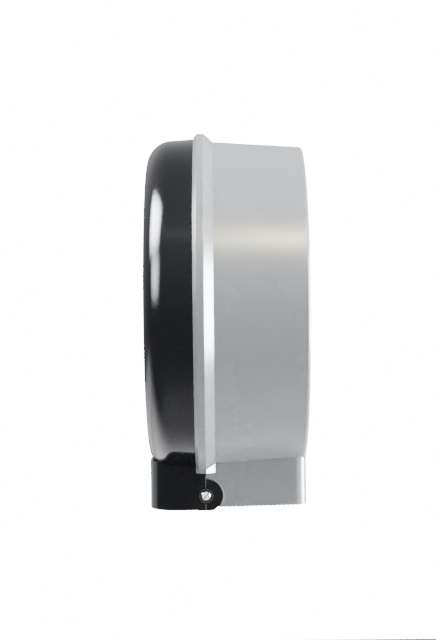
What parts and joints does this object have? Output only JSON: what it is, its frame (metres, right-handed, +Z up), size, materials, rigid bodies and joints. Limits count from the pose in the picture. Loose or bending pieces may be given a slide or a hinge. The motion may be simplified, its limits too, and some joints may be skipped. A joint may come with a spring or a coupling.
{
  "type": "jumbo tissue roll dispenser",
  "caption": "Round wall-mounted dispenser for a jumbo tissue roll: grey drum housing, dark hinged dome cover, hub on a spindle, toothed neck outlet and key lock.",
  "frame": {"origin": "on the drum's axis, in the plane of the wall", "axes": "+Z up; -Y forward, out of the wall; +X to the right as seen from the front"},
  "size_m": [0.2838, 0.1273, 0.3059],
  "materials": {
    "housing_plastic": "fine satin moulded plastic, cool grey",
    "smoke_cover": "polished smoke-dark translucent plastic",
    "bush_plastic": "dark grey gloss plastic",
    "bright_screw": "bright plated",
    "fastener_steel": "zinc plated",
    "blade_steel": "dark satin",
    "lock_metal": "satin plated die casting",
    "inner_plastic": "dark grey moulded",
    "adapter_plastic": "grey moulded",
    "bearing_plastic": "natural white, waxy"
  },
  "bodies": {
    "housing": {"back_housing": "housing_plastic", "tear_blade_left": "blade_steel", "tear_blade_right": "blade_steel", "blade_rivets_left": "fastener_steel", "blade_rivets_right": "fastener_steel", "pivot_screw_left": "bright_screw", "pivot_screw_right": "bright_screw", "pivot_nut_left": "fastener_steel", "pivot_nut_right": "fastener_steel", "spindle_post": "inner_plastic", "spindle_screws": "fastener_steel", "thrust_washer": "bearing_plastic", "hub_retainer": "inner_plastic", "lock_barrel": "lock_metal", "lock_nut": "fastener_steel"},
    "front_cover": {"front_cover": "smoke_cover", "pivot_bush_left": "bush_plastic", "pivot_bush_right": "bush_plastic", "cover_catch": "fastener_steel", "catch_screws": "fastener_steel"},
    "lock_plug": {"lock_plug": "lock_metal", "lock_cam": "fastener_steel", "cam_screw": "fastener_steel"},
    "roll_hub": {"roll_hub": "inner_plastic", "core_adapter": "adapter_plastic"}
  },
  "joints": [
    {"name": "cover_hinge", "type": "hinge", "parent": "housing", "child": "front_cover", "pos_m": [0, -0.0805, -0.1523], "axis": [1, 0, 0], "range_deg": [0, 80]},
    {"name": "lock_turn", "type": "hinge", "parent": "housing", "child": "lock_plug", "pos_m": [0, -0.062, 0.126], "axis": [0, 0, 1], "range_deg": [0, 90]},
    {"name": "hub_spin", "type": "hinge", "parent": "housing", "child": "roll_hub", "pos_m": [0, -0.048, 0], "axis": [0, 1, 0], "continuous": true}
  ]
}
